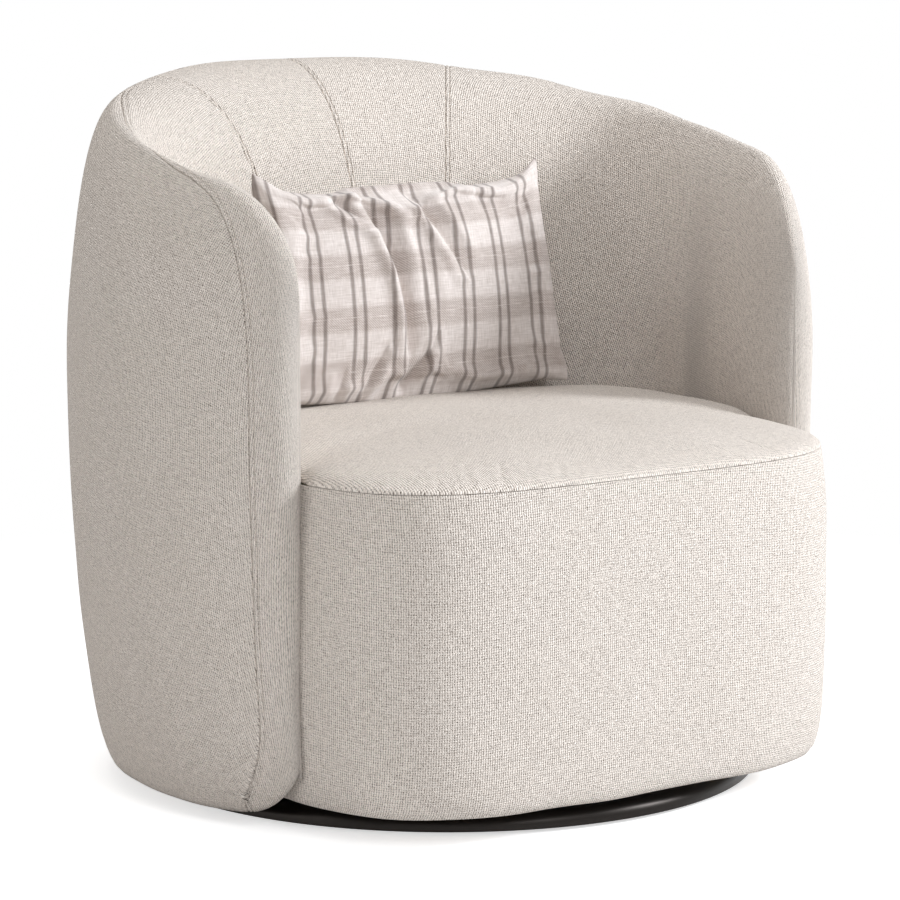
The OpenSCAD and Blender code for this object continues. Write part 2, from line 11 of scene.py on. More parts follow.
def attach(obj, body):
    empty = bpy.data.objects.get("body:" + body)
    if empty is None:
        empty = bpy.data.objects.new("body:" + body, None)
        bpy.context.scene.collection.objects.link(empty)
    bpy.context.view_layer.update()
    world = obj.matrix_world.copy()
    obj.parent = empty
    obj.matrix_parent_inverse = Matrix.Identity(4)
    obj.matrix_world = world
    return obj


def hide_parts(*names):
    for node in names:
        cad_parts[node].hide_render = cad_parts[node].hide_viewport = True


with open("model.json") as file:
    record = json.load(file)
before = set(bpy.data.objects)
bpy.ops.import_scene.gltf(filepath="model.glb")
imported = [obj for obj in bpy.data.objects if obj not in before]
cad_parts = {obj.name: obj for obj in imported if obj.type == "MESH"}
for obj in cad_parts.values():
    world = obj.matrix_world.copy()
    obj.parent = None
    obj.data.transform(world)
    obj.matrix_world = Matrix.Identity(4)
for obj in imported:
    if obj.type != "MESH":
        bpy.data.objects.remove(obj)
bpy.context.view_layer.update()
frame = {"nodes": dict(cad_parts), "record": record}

MM = 0.001

# Sizes in millimetres and angles in degrees, as in the part's source. A plan angle is 0 at the
# middle of the back and grows to the right, and the arms' fronts end at ARM_END on both sides.
HALF_W, BACK_REACH, OUT_FRONT = 404.0, 382.0, 393.0
INNER_W, BACK_IN, IN_FRONT = 310.0, 155.0, 351.0
RIDGE_W, RIDGE_BACK, RIDGE_FRONT = HALF_W - 54, BACK_REACH - 64, 369.0
OUT_POWER, IN_POWER, RIDGE_POWER = 2.06, 2.6, 2.15
BACK_H, ARM_H, TOP_FALL = 741.0, 624.0, (9, 148)
WIDEST, INSIDE_H = 409.0, 424.0
HEM_H, HEM_RISE, HEM_IN = 14.0, 54.75, 46.0
ARM_END = 121.8
NOSE_DEG, NOSE_DROP = ARM_END - 15.7, 100.0
NOSE_POWER, NOSE_TOP_POWER = 2.6, 2.2
LOW_POWER, TOP_POWER, INNER_POWER = 1.85, 2.0, 2.2
SEAM_DEG, SEAM_BEND, PANEL_DEG = ARM_END - 6, 80.0, 35.0
SPLIT = 85.0
SEAT_W, SEAT_FRONT, SEAT_BACK = 319.0, 357.0, 210.0
SEAM_H, CROWN_H, SEAT_WIDE_H = 355.0, 392.0, 204.0


def mix(a, b, t):
    return a + (b - a) * t


def limited(x):
    return np.clip(x, 0, 1)


def smooth(t):
    return t * t * (3 - 2 * t)


def ease(x, low, high):
    return smooth(limited((x - low) / (high - low)))


def sine(degrees):
    return np.sin(np.radians(degrees))


def cosine(degrees):
    return np.cos(np.radians(degrees))


def oval(t, sideways, ahead, power):
    return ((abs(sine(t)) / sideways) ** power + (abs(cosine(t)) / ahead) ** power) ** (-1 / power)


def joined(*spans):
    """Even steps over spans that meet, each given as (from, to, count)."""
    return np.concatenate([np.linspace(*span)[:-1] for span in spans[:-1]] + [np.linspace(*spans[-1])])


# The tub's form: plan curves, and three curved parts of an upright profile
def nose_part(t):
    """How far a plan angle is into the arm's rounded front, from 0 to 1."""
    return limited((abs(t) - NOSE_DEG) / (ARM_END - NOSE_DEG))


def rounding(t, power):
    """1 along the tub, falling in a rounded curve at the end of the arm's front."""
    return np.maximum(1 - nose_part(t) ** power, 1e-4) ** (1 / power)


def narrowing(t):
    return rounding(t, NOSE_POWER)


def outer_plan(t):
    return oval(t, HALF_W, np.where(abs(t) > 90, OUT_FRONT, BACK_REACH), OUT_POWER)


def inner_plan(t):
    return oval(t, INNER_W, np.where(abs(t) > 90, IN_FRONT, BACK_IN), IN_POWER)


def ridge_plan(t):
    return oval(t, RIDGE_W, np.where(abs(t) > 90, RIDGE_FRONT, RIDGE_BACK), RIDGE_POWER)


def shrink(t, radius):
    """Draws a radius towards the middle of the shell where the arm's front narrows."""
    middle = (outer_plan(t) + inner_plan(t)) / 2
    return middle + (radius - middle) * narrowing(t)


def top_height(t):
    drop = 1 - rounding(t, NOSE_TOP_POWER)
    return mix(BACK_H, ARM_H, ease(abs(t), *TOP_FALL)) - NOSE_DROP * drop


def hem_height(t):
    return HEM_H + HEM_RISE * nose_part(t) ** 3


def seam_angle(t):
    """Angle on the top part of the profile at which the long seam's plain course lies."""
    x = limited((abs(t) - SEAM_BEND) / (SEAM_DEG - SEAM_BEND))
    return SPLIT * (1 - x ** 3) ** 0.4


def low_point(t, f):
    """Radius and height on the outside, for f from 90 at the hem to 0 at the widest level."""
    outer = shrink(t, outer_plan(t))
    hem = outer - HEM_IN * narrowing(t) * (1 - 0.55 * nose_part(t) ** 8)
    return (hem + (outer - hem) * cosine(f) ** (2 / LOW_POWER),
            WIDEST - (WIDEST - hem_height(t)) * sine(f) ** (2 / LOW_POWER))


def top_point(t, f):
    """The same above it, for f from 0 at the widest level to 90 on the ridge."""
    outer, ridge = shrink(t, outer_plan(t)), shrink(t, ridge_plan(t))
    return (ridge + (outer - ridge) * cosine(f) ** (2 / TOP_POWER),
            WIDEST + (top_height(t) - WIDEST) * sine(f) ** (2 / TOP_POWER))


def inner_point(t, f):
    """The same on the inside, for f from 90 on the ridge to 0 at the foot of the curve."""
    inner, ridge = shrink(t, inner_plan(t)), shrink(t, ridge_plan(t))
    return (ridge - (ridge - inner) * cosine(f) ** (2 / INNER_POWER),
            INSIDE_H + (top_height(t) - INSIDE_H) * sine(f) ** (2 / INNER_POWER))


def run_of(point, t, start, end, count):
    """Close points on one part of the profile, as a row of radii and a row of heights."""
    return np.array(point(t, np.linspace(start, end, count)))


def placed(t, rows):
    return np.stack([rows[0] * sine(t), rows[0] * cosine(t), rows[1]], axis=1)


# Lines, grids and meshes
def along_line(points):
    """Distance of each point of a line from its start, along the line."""
    return np.concatenate([[0], np.cumsum(np.linalg.norm(np.diff(points, axis=0), axis=1))])


def length(points):
    return np.linalg.norm(np.diff(points, axis=0), axis=1).sum()


def resample(points, distances):
    at = along_line(points)
    return np.stack([np.interp(distances, at, column) for column in points.T], axis=1)


def even(line):
    return resample(line, np.arange(0, length(line), 0.3))


def shade_smooth(mesh):
    mesh.polygons.foreach_set("use_smooth", [True] * len(mesh.polygons))


def new_object(name, verts, faces, uv):
    mesh = bpy.data.meshes.new(name)
    mesh.from_pydata([tuple(v) for v in np.asarray(verts) * MM], [], faces)
    layer = mesh.uv_layers.new(name="weave")
    loops = np.empty(len(mesh.loops), dtype=np.int32)
    mesh.loops.foreach_get("vertex_index", loops)
    layer.data.foreach_set("uv", (np.asarray(uv)[loops] * MM).astype(np.float32).ravel())
    shade_smooth(mesh)
    obj = bpy.data.objects.new(name, mesh)
    bpy.context.collection.objects.link(obj)
    return obj


def grid_faces(rows, columns, start=0, flip=False, wrap=False):
    faces = []
    for i in range(rows - 1):
        low, high = start + i * columns, start + (i + 1) * columns
        for j in range(columns if wrap else columns - 1):
            k = (j + 1) % columns
            face = (low + j, low + k, high + k, high + j)
            faces.append(face[::-1] if flip else face)
    return faces


def grid_uv(grid, middle):
    """Lengths along both directions of a grid of points, so that the weave keeps its size."""
    across = np.linalg.norm(np.diff(grid, axis=0), axis=2)
    up = np.linalg.norm(np.diff(grid, axis=1), axis=2)
    u = np.concatenate([np.zeros((1, grid.shape[1])), np.cumsum(across, axis=0)])
    v = np.concatenate([np.zeros((grid.shape[0], 1)), np.cumsum(up, axis=1)], axis=1)
    return np.stack([u - u[middle], v], axis=2).reshape(-1, 2)


def nearest(points, line):
    """Distance of each point from a line given by close points, and which of these is nearest."""
    tree = KDTree(len(line))
    for i, p in enumerate(line):
        tree.insert(p, i)
    tree.balance()
    hits = [tree.find(p) for p in points]
    return np.array([hit[2] for hit in hits]), np.array([hit[1] for hit in hits])


def ripple(points, amount, size, seed):
    """A slow uneven swell over points, as padding has."""
    rng = np.random.default_rng(seed)
    total = np.zeros(len(points))
    for _ in range(8):
        k = rng.normal(size=3)
        k *= 2 * math.pi / (size * (0.7 + 0.8 * rng.random())) / np.linalg.norm(k)
        total += np.sin(points @ k + rng.random() * 2 * math.pi)
    return amount * total / 2


def valley(s, depth, width):
    return depth * np.exp(-(s / width) ** 2)


def groove(s):
    """Depth of a seam and of the slight dip round it, at a distance from the seam."""
    return valley(s, 1.5, 0.85) + valley(s, 0.25, 6.0)


def stitch_groove(s):
    return valley(s, 1.25, 0.85)


def plain_groove(s):
    return valley(s, 0.35, 1.0)


def pull_groove(s):
    """A strained line in the cloth: a valley with a low swell beside it."""
    return valley(s, 0.8, 2.6) - valley(s - 7, 0.3, 3.5)


def points_of(obj):
    co = np.empty(len(obj.data.vertices) * 3)
    obj.data.vertices.foreach_get("co", co)
    return co.reshape(-1, 3)


def set_points(obj, points):
    obj.data.vertices.foreach_set("co", points.ravel())
    obj.data.update()


def push_in(obj, depth_at):
    """Moves vertices in along their normals, by a depth that is worked out from their places."""
    points = points_of(obj)
    normals = np.empty(points.size)
    obj.data.vertex_normals.foreach_get("vector", normals)
    set_points(obj, points - normals.reshape(-1, 3) * depth_at(points / MM)[:, None] * MM)


def sink(obj, lines):
    """Presses valleys in along lines, given as (line, depth function)."""
    def deepest(places):
        total = np.zeros(len(places))
        for line, depth in lines:
            here = depth(nearest(places, line)[0])
            total = np.where(abs(here) > abs(total), here, total)
        return total
    push_in(obj, deepest)


def swell(obj, amount, size, seed, seam):
    """Gives a finished mesh a slow uneven swell, with none at its seam."""
    push_in(obj, lambda places: ((ripple(places, amount, size, seed) + amount)
                                 * ease(nearest(places, seam)[0], 2, 28)))


def weld(obj, distance=0.02):
    bm = bmesh.new()
    bm.from_mesh(obj.data)
    bmesh.ops.remove_doubles(bm, verts=bm.verts, dist=distance * MM)
    bmesh.ops.recalc_face_normals(bm, faces=bm.faces)
    bm.to_mesh(obj.data)
    bm.free()


def thicken(obj, thickness):
    mod = obj.modifiers.new("cloth", "SOLIDIFY")
    mod.thickness = thickness * MM
    mod.offset = -1
    mod.use_even_offset = False


def frozen(obj):
    """Applies all of a piece's modifiers."""
    mesh = bpy.data.meshes.new_from_object(obj.evaluated_get(bpy.context.evaluated_depsgraph_get()))
    obj.modifiers.clear()
    obj.data = mesh


# The tub's profile in two halves, which meet at the split just outside the ridge
def lowest(t):
    """Height at which the inside ends: hidden behind the seat, or low at the arm's front."""
    return mix(300.0, 60.0, float(ease(abs(t), 92, 104)))


def fold_under(t):
    """The cloth that is turned in below the hem: three radii and three heights."""
    outer, hem, part = float(shrink(t, outer_plan(t))), float(hem_height(t)), float(narrowing(t))
    return np.array([[outer - inset * part for inset in (62, 55, 50)],
                     [hem + 16 * part + 1, hem + 8 * part + 1, hem + 2.5 * part]])


def outside(t):
    """From the fold under the hem, up the outside to the split."""
    return placed(t, np.concatenate([fold_under(t), run_of(low_point, t, 90, 0, 260),
                                     run_of(top_point, t, 0, SPLIT, 220)], axis=1))


def inside(t):
    """From the split over the ridge, then down the inside."""
    wall, end = float(shrink(t, inner_plan(t))), lowest(t)
    return placed(t, np.concatenate([run_of(top_point, t, SPLIT, 90, 20), run_of(inner_point, t, 90, 0, 240),
                                     [[wall, wall], [(INSIDE_H + end) / 2, end]]], axis=1))


def seam_run(t):
    """Where the long seam lies: its distance along the profile from the split, inward."""
    t = np.atleast_1d(t)
    f = np.minimum(seam_angle(t), SPLIT - 0.001)[:, None]
    r, z = top_point(t[:, None], f + (SPLIT - f) * np.linspace(0, 1, 60)[None, :])
    down = np.sqrt(np.diff(r, axis=1) ** 2 + np.diff(z, axis=1) ** 2).sum(1)
    # the seam crosses to the inner side on the left, and lies further out on the right
    left = t < 0
    shift = np.where(left, 15.0, -15.0) * ease(abs(t), 42, 66)
    return shift * (1 - ease(abs(t), np.where(left, 74, 98), np.where(left, 97, 113))) - down


def corner_back(z):
    """Degrees by which the arm's corner seam turns back near the hem."""
    return 4.6 * limited((115 - z) / 80.0) ** 1.9


def on_profile(t, run):
    """The point at a run from the split, outward where the run is negative."""
    line = outside(t) if run <= 0 else inside(t)
    return resample(line, np.array([length(line) + run if run <= 0 else run]))[0]


def corner_line(side):
    """The seam down the outer corner of an arm's front, from the fold up."""
    f = np.linspace(90, 0, 300)
    t = SEAM_DEG - corner_back(low_point(np.full(300, SEAM_DEG), f)[1])
    fold = placed(np.full(3, t[0]), fold_under(float(t[0])))
    return np.concatenate([fold, placed(t, low_point(t, f))]) * np.array([side, 1, 1])


def long_seam():
    """Up one arm's front corner, round the tub outside the ridge, and down the other corner."""
    steep = SEAM_DEG - 0.004 * np.arange(400) ** 1.35
    half = np.concatenate([-steep[steep > 99.9], np.linspace(-99.8, 0, 500)])
    angles = np.concatenate([half, -half[::-1][1:]])
    arc = np.array([on_profile(float(t), float(run)) for t, run in zip(angles, seam_run(angles))])
    return even(np.concatenate([corner_line(-1), arc, corner_line(1)[::-1]]))


LONG_SEAM = long_seam()
BACK_SEAMS = {t: even(inside(t)) for t in (-PANEL_DEG, 0.0, PANEL_DEG)}


# The tub's skin as one grid: rows at plan angles, with a row on every upright seam, and stops
# along each profile. FINE is the number of parts that a cell beside a seam is split into.
OUT_CELLS, IN_CELLS, FINE = 112, 74, 12
STOPS = OUT_CELLS + IN_CELLS + 1


def row_angles():
    tip = NOSE_DEG + (ARM_END - NOSE_DEG) * sine(np.linspace(0, 89.4, 34)) ** (2 / NOSE_POWER)
    tip = tip[tip > 107.5]
    tip[np.argmin(abs(tip - SEAM_DEG))] = SEAM_DEG
    half = np.concatenate([joined((0, PANEL_DEG, 32), (PANEL_DEG, 107, 68)), tip])
    return np.concatenate([-half[::-1], half[1:]])


ROW_DEG = row_angles()
ROWS = len(ROW_DEG)


def skin_points(ij):
    """Places at fractional steps of the grid, and their runs along the profile from the split."""
    places, run = np.empty((len(ij), 3)), np.empty(len(ij))
    order = np.argsort(ij[:, 0], kind="stable")
    for group in np.split(order, np.flatnonzero(np.diff(ij[order, 0])) + 1):
        t = float(np.interp(ij[group[0], 0], np.arange(ROWS), ROW_DEG))
        low, high = outside(t), inside(t)
        j = ij[group, 1]
        on_low = j <= OUT_CELLS
        at_low = np.clip(j, 0, OUT_CELLS) / OUT_CELLS * length(low)
        at_high = np.clip(j - OUT_CELLS, 0, IN_CELLS) / IN_CELLS * length(high)
        places[group] = np.where(on_low[:, None], resample(low, at_low), resample(high, at_high))
        run[group] = np.where(on_low, at_low - length(low), at_high)
    return places, run


skin, skin_run = skin_points(np.indices((ROWS, STOPS)).reshape(2, -1).T.astype(float))
skin, skin_run = skin.reshape(ROWS, STOPS, 3), skin_run.reshape(ROWS, STOPS)


def cells_near(line, reach):
    """Which cells have a corner within reach of a seam."""
    close = nearest(skin.reshape(-1, 3), line[::8])[0].reshape(ROWS, STOPS) < reach
    return close[:-1, :-1] | close[1:, :-1] | close[:-1, 1:] | close[1:, 1:]


cell_deg = abs((ROW_DEG[:-1] + ROW_DEG[1:]) / 2)[:, None]
by_long = cells_near(LONG_SEAM, 7.5)
by_back = np.any([cells_near(line, 6.0) for line in BACK_SEAMS.values()], axis=0) & (cell_deg < 60)
split_s = by_long & (cell_deg < SEAM_DEG) & (np.arange(STOPS - 1)[None, :] > 60)
split_t = by_back | (by_long & (cell_deg > 98))


def build_skin():
    """All the faces of the tub's skin, as corner lists in steps of 1/FINE of a cell."""
    faces, centres = [], []
    for i in range(ROWS - 1):
        for j in range(STOPS - 1):
            step_t, step_s = (1 if split_t[i, j] else FINE), (1 if split_s[i, j] else FINE)
            end_t, end_s = (i + 1) * FINE, (j + 1) * FINE
            # a side is divided too where the cell beyond it is
            below = i > 0 and split_s[i - 1, j]
            above = i < ROWS - 2 and split_s[i + 1, j]
            before = j > 0 and split_t[i, j - 1]
            after = j < STOPS - 2 and split_t[i, j + 1]
            for t0 in range(i * FINE, end_t, step_t):
                for s0 in range(j * FINE, end_s, step_s):
                    t1, s1 = t0 + step_t, s0 + step_s
                    step_below = 1 if below and t0 == i * FINE else step_s
                    step_above = 1 if above and t1 == end_t else step_s
                    step_before = 1 if before and s0 == j * FINE else step_t
                    step_after = 1 if after and s1 == end_s else step_t
                    faces.append([(t0, s) for s in range(s0, s1, step_below)]
                                 + [(t, s1) for t in range(t0, t1, step_after)]
                                 + [(t1, s) for s in range(s1, s0, -step_above)]
                                 + [(t, s0) for t in range(t1, t0, -step_before)])
                    centres.append(((t0 + t1) / 2 / FINE, (s0 + s1) / 2 / FINE))
    return faces, np.array(centres)


def at_index(field, ij):
    """Value of a field of the grid at fractional indices."""
    i = np.clip(np.floor(ij[:, 0]).astype(int), 0, ROWS - 2)
    j = np.clip(np.floor(ij[:, 1]).astype(int), 0, STOPS - 2)
    a, b = ij[:, 0] - i, ij[:, 1] - j
    if field.ndim == 3:
        a, b = a[:, None], b[:, None]
    return (field[i, j] * (1 - a) * (1 - b) + field[i + 1, j] * a * (1 - b)
            + field[i, j + 1] * (1 - a) * b + field[i + 1, j + 1] * a * b)


skin_faces, face_ij = build_skin()
corner_ids = {}
loops = [[corner_ids.setdefault(key, len(corner_ids)) for key in face] for face in skin_faces]
corner_ij = np.array(list(corner_ids), float) / FINE
corner_p, corner_run = skin_points(corner_ij)

# The skin's five panels and the nodes that they stand for
PANELS = {"outer": "outer_cover", "left_arm": "inner_left_arm", "left_back": "inner_left_back",
          "right_back": "inner_right_back", "right_arm": "inner_right_arm"}
OUTER, LEFT_ARM, LEFT_BACK, RIGHT_BACK, RIGHT_ARM = range(5)
face_deg = np.interp(face_ij[:, 0], np.arange(ROWS), ROW_DEG)
is_outer = ((abs(face_deg) < SEAM_DEG - corner_back(at_index(skin[:, :, 2], face_ij)))
            & (at_index(skin_run, face_ij) < seam_run(np.clip(face_deg, -SEAM_DEG, SEAM_DEG))))
face_panel = np.select([is_outer, face_deg < -PANEL_DEG, face_deg < 0, face_deg < PANEL_DEG],
                       [OUTER, LEFT_ARM, LEFT_BACK, RIGHT_BACK], RIGHT_ARM)

# corners between the outer panel and another move onto the seam between them
first_panel = np.full(len(corner_ids), len(PANELS))
last_panel = np.full(len(corner_ids), -1)
for loop, panel in zip(loops, face_panel):
    first_panel[loop] = np.minimum(first_panel[loop], panel)
    last_panel[loop] = np.maximum(last_panel[loop], panel)
on_seam = np.flatnonzero((first_panel == OUTER) & (last_panel > OUTER))
corner_p[on_seam] = LONG_SEAM[nearest(corner_p[on_seam], LONG_SEAM)[1]]

# outward normals, whose sign is taken at the middle of the tub's outside
grid_normal = np.cross(np.gradient(skin, axis=0), np.gradient(skin, axis=1))
grid_normal /= np.maximum(np.linalg.norm(grid_normal, axis=2), 1e-6)[:, :, None]
corner_normal = at_index(grid_normal, corner_ij)
corner_normal /= np.linalg.norm(corner_normal, axis=1)[:, None]
corner_normal *= np.sign(grid_normal[ROWS // 2, 40, 1])


def skin_depth():
    """How far the skin is pressed in beside its seams, which have topstitching on one side."""
    away = nearest(corner_p, LONG_SEAM)[0]
    depth = np.where(away < 16, groove(away), 0)
    # the topstitching lies on the arm and back panels, beside the seam
    stitched = (last_panel > OUTER) & (away < 9)
    depth = np.maximum(depth, np.where(stitched, stitch_groove(away - 5.2), 0))
    for t, line in BACK_SEAMS.items():
        side = corner_p[:, 0] * cosine(t) - corner_p[:, 1] * sine(t)
        near = np.flatnonzero((corner_run > -2) & (abs(side) < 16) & (corner_p[:, 1] > 0))
        away = nearest(corner_p[near], line)[0]
        outward = side[near] * (1 if t >= 0 else -1) > 0
        here = np.where(away < 12, groove(away), 0)
        here = np.maximum(here, np.where(outward, stitch_groove(away - 4.6), 0))
        depth[near] = np.maximum(here, depth[near])
    return depth + ripple(corner_p, 0.5, 120, 3) + 0.3


skin_p = corner_p - corner_normal * skin_depth()[:, None]


def row_at(t):
    return int(np.argmin(abs(ROW_DEG - t)))


# lengths of cloth for the weave, and the row that each panel's are counted from
steps_across = np.linalg.norm(np.diff(skin, axis=0), axis=2)
cloth_across = np.concatenate([np.zeros((1, STOPS)), np.cumsum(steps_across, axis=0)])
CLOTH_ROW = [ROWS // 2, 0, row_at(-PANEL_DEG / 2), row_at(PANEL_DEG / 2), ROWS - 1]


def panel_object(panel, name):
    mine = [loop for loop, owner in zip(loops, face_panel) if owner == panel]
    used = np.unique(np.concatenate(mine))
    new_id = np.full(len(corner_ids), -1)
    new_id[used] = np.arange(len(used))
    faces = [tuple(new_id[loop].tolist()) for loop in mine]
    # an arm panel is closed at the end of its arm
    if panel in (LEFT_ARM, RIGHT_ARM):
        end = 0 if panel == LEFT_ARM else (ROWS - 1) * FINE
        keys = [(end, j) for j in range((STOPS - 1) * FINE + 1)]
        rim = [int(new_id[corner_ids[key]]) for key in keys if key in corner_ids]
        faces.append(tuple(rim[::-1] if panel == LEFT_ARM else rim))
    across = at_index(cloth_across - cloth_across[CLOTH_ROW[panel]], corner_ij[used])
    obj = new_object(name, skin_p[used], faces, np.stack([across, corner_run[used]], axis=1))
    weld(obj)
    return obj


# Seat: a border round the block, and a crowned top joined to it by a seam
SEAT_MID, SEAT_HALF = (SEAT_BACK - SEAT_FRONT) / 2, (SEAT_BACK + SEAT_FRONT) / 2
SEAT_POWER, CROWN_POWER, CROWN_Y = 3.86, 2.2, -60.0
SEAM_IN, SIDE_DEG = 7.4, 22.4
BORDER_SEAM_H, TOP_SEAM_H = SEAM_H + 0.7, SEAM_H + 0.8
# distances from the seam at which rows lie, so that its groove has faces
NEAR = np.array([0, 0.6, 1.2, 1.8, 2.5, 3.3, 4.2, 5.2, 6.4, 8.0, 10.5, 14.0, 19.0])


def block_xy(t, inset):
    """A point of the seat's plan at an angle from the right side, inset from its outside."""
    r = oval(t, SEAT_HALF - inset, SEAT_W - inset, SEAT_POWER)
    return np.array([r * cosine(t), SEAT_MID + r * sine(t)])


def seam_at(height, first, last):
    """The seam round the front, between two angles."""
    return np.array([[*block_xy(t, SEAM_IN), height] for t in np.linspace(first, last, 1500)])


def low_in(z):
    """How far the border draws in below its widest level."""
    x = limited((SEAT_WIDE_H - z) / (SEAT_WIDE_H - (HEM_H + 16))) ** 1.6
    return 20.5 * (1 - np.cos(np.arcsin(x)) ** 0.625)


def border_profile():
    """Inset and height of the border's outside, from the fold below to the seam."""
    foot = HEM_H + 16.2
    points = [(60, foot + 2.5), (46, foot + 0.8), (34, foot + 0.1), (26, foot)]
    for z in foot + (SEAT_WIDE_H - foot) * np.linspace(0.002, 1, 60) ** 1.6:
        points.append((float(low_in(z)), float(z)))
    for z in np.linspace(SEAT_WIDE_H + 2, BORDER_SEAM_H, 60):
        points.append((SEAM_IN * ((z - SEAT_WIDE_H) / (BORDER_SEAM_H - SEAT_WIDE_H)) ** 3.2, z))
    return np.array(points)


def build_border():
    profile = border_profile()
    total = along_line(profile)[-1]
    stops = np.concatenate([np.linspace(0.0, total - NEAR[-1], 46), total - NEAR[:-1][::-1]])
    lip = [(9.2, SEAM_H + 0.1), (13.0, SEAM_H - 1.6), (24.0, SEAM_H - 3.0)]
    profile = np.concatenate([resample(profile, stops), lip])
    angles = joined((-4, -SIDE_DEG, 8), (-SIDE_DEG, -60, 34), (-60, -120, 26),
                    (-120, -180 + SIDE_DEG, 34), (-180 + SIDE_DEG, -176, 8))
    grid = np.array([[[*block_xy(t, inset), z] for inset, z in profile] for t in angles])
    rows, columns = grid.shape[:2]
    obj = new_object("seat_border_panel", grid.reshape(-1, 3), grid_faces(rows, columns),
                     grid_uv(grid, rows // 2))
    weld(obj)
    seam = seam_at(BORDER_SEAM_H, -8, -172)
    sink(obj, [(seam, plain_groove)])
    swell(obj, 0.5, 120, 7, seam)
    return obj


def edge_ring():
    """Plan of the seat top: round the front, then along the tub's inner walls."""
    front = [block_xy(t, SEAM_IN)
             for t in joined((-SIDE_DEG, -60, 90), (-60, -120, 90), (-120, -180 + SIDE_DEG, 90))]
    end = ARM_END - 1.2
    walls = [np.array([sine(t), cosine(t)]) * (float(shrink(t, inner_plan(t))) - 0.9)
             for t in joined((-end, -100, 24), (-100, 100, 90), (100, end, 24))]
    return np.array(front), np.array(walls)


# short strained lines in the cloth above the front seam: x, lean, distance behind the seam, length
PULLS = [(-262, 16, 4, 34), (-236, 20, 3, 44), (-205, 22, 3, 48), (-172, 22, 3, 42), (-140, 18, 3, 36),
         (-104, 14, 3, 28), (120, -14, 3, 28), (176, -20, 3, 36), (228, -18, 3, 32)]


def on_seat_top(x, back):
    """The point of the seat's crowned top at x, a distance behind the front seam."""
    width, reach = SEAT_W - SEAM_IN, SEAT_HALF - SEAM_IN
    front = SEAT_MID - reach * (1 - min(abs(x) / width, 0.999) ** SEAT_POWER) ** (1 / SEAT_POWER)
    part = max(1 - back / max(abs(CROWN_Y - front), 1), 0)
    return x, front + back, mix(TOP_SEAM_H, CROWN_H, (1 - part ** CROWN_POWER) ** 0.5)


def build_seat_top():
    front, walls = edge_ring()
    ring = np.concatenate([front, walls])
    count = len(ring)
    i = np.arange(count)
    # 0 along the front seam and 1 along the walls, where the edge is higher
    wall = smooth(limited((i - len(front) + 1) / 12.0) * limited((count - i) / 12.0))
    edge = TOP_SEAM_H + wall * 15.5
    centre = np.array([0.0, CROWN_Y])
    inward = (centre - ring) / np.linalg.norm(centre - ring, axis=1)[:, None]
    grid = []
    # a skirt that turns in behind the seam, or goes straight down beside the walls
    for drop in (26, 14, 6):
        turned = inward * min(drop, 7) * (1 - wall)[:, None]
        fall = np.where(wall > 0.5, drop, min(drop, 3) * 0.6 + drop * wall)
        grid.append(np.column_stack([ring + np.where(wall[:, None] > 0.5, 0, turned), edge - fall]))
    for rise in np.radians([0, 0.7, 1.5, 2.5, 3.7, 5.0, 6.6, *np.linspace(8.5, 88.8, 46)]):
        flat = centre + (ring - centre) * math.cos(rise) ** (2 / CROWN_POWER)
        grid.append(np.column_stack([flat, edge + (CROWN_H - edge) * math.sin(rise)]))
    verts = np.concatenate([*grid, [[*centre, CROWN_H]]])
    faces = grid_faces(len(grid), count, wrap=True)
    top, last = (len(grid) - 1) * count, len(grid) * count
    faces += [(top + j, top + (j + 1) % count, last) for j in range(count)]
    # the weave runs straight over the top
    obj = new_object("seat_top_panel", verts, faces, verts[:, :2])
    weld(obj)
    seam = seam_at(TOP_SEAM_H, -SIDE_DEG, -180 + SIDE_DEG)
    pulls = [np.array([on_seat_top(x + lean * k, back + run * k) for k in np.linspace(0, 1, 60)])
             for x, lean, back, run in PULLS]
    sink(obj, [(seam, plain_groove)] + [(line, pull_groove) for line in pulls])
    swell(obj, 0.7, 110, 11, seam)
    return obj


# Pillow, made lying flat about its own middle and then leaned on the back
PILLOW_AT = Vector((18.0, 101.0, 508.4))
PILLOW_LEAN = 9.5
PILLOW_W, PILLOW_H, PILLOW_T = 385.0, 250.0, 100.0
TILT = Matrix.Translation(PILLOW_AT * MM) @ Matrix.Rotation(math.radians(90 - PILLOW_LEAN), 4, "X")
# creases pressed into the front: points in the pillow's own plane, half width, depth, lean of the profile
FOLDS = [
    ([(-74, 116), (-55, 83), (-36, 40), (-21, -10), (-19, -62), (-26, -118)], 11.0, 17.0, 1),
    ([(-6, 104), (22, 74), (41, 30), (49, 10)], 9.0, 12.0, 1),
    ([(-118, 110), (-88, 84), (-60, 62)], 8.0, 9.0, 1),
    ([(-8, 56), (-4, 20), (-4, -20), (2, -58)], 10.0, 6.0, 1),
    ([(-58, -78), (-68, -98), (-86, -120)], 7.0, 8.0, -1),
    ([(8, -66), (-8, -92), (-30, -122)], 7.0, 8.5, -1),
    ([(-106, -96), (-116, -118)], 6.0, 5.0, -1),
    ([(88, 112), (84, 92), (90, 74)], 8.0, 3.5, 1),
    ([(120, -100), (128, -118)], 7.0, 3.5, -1),
]


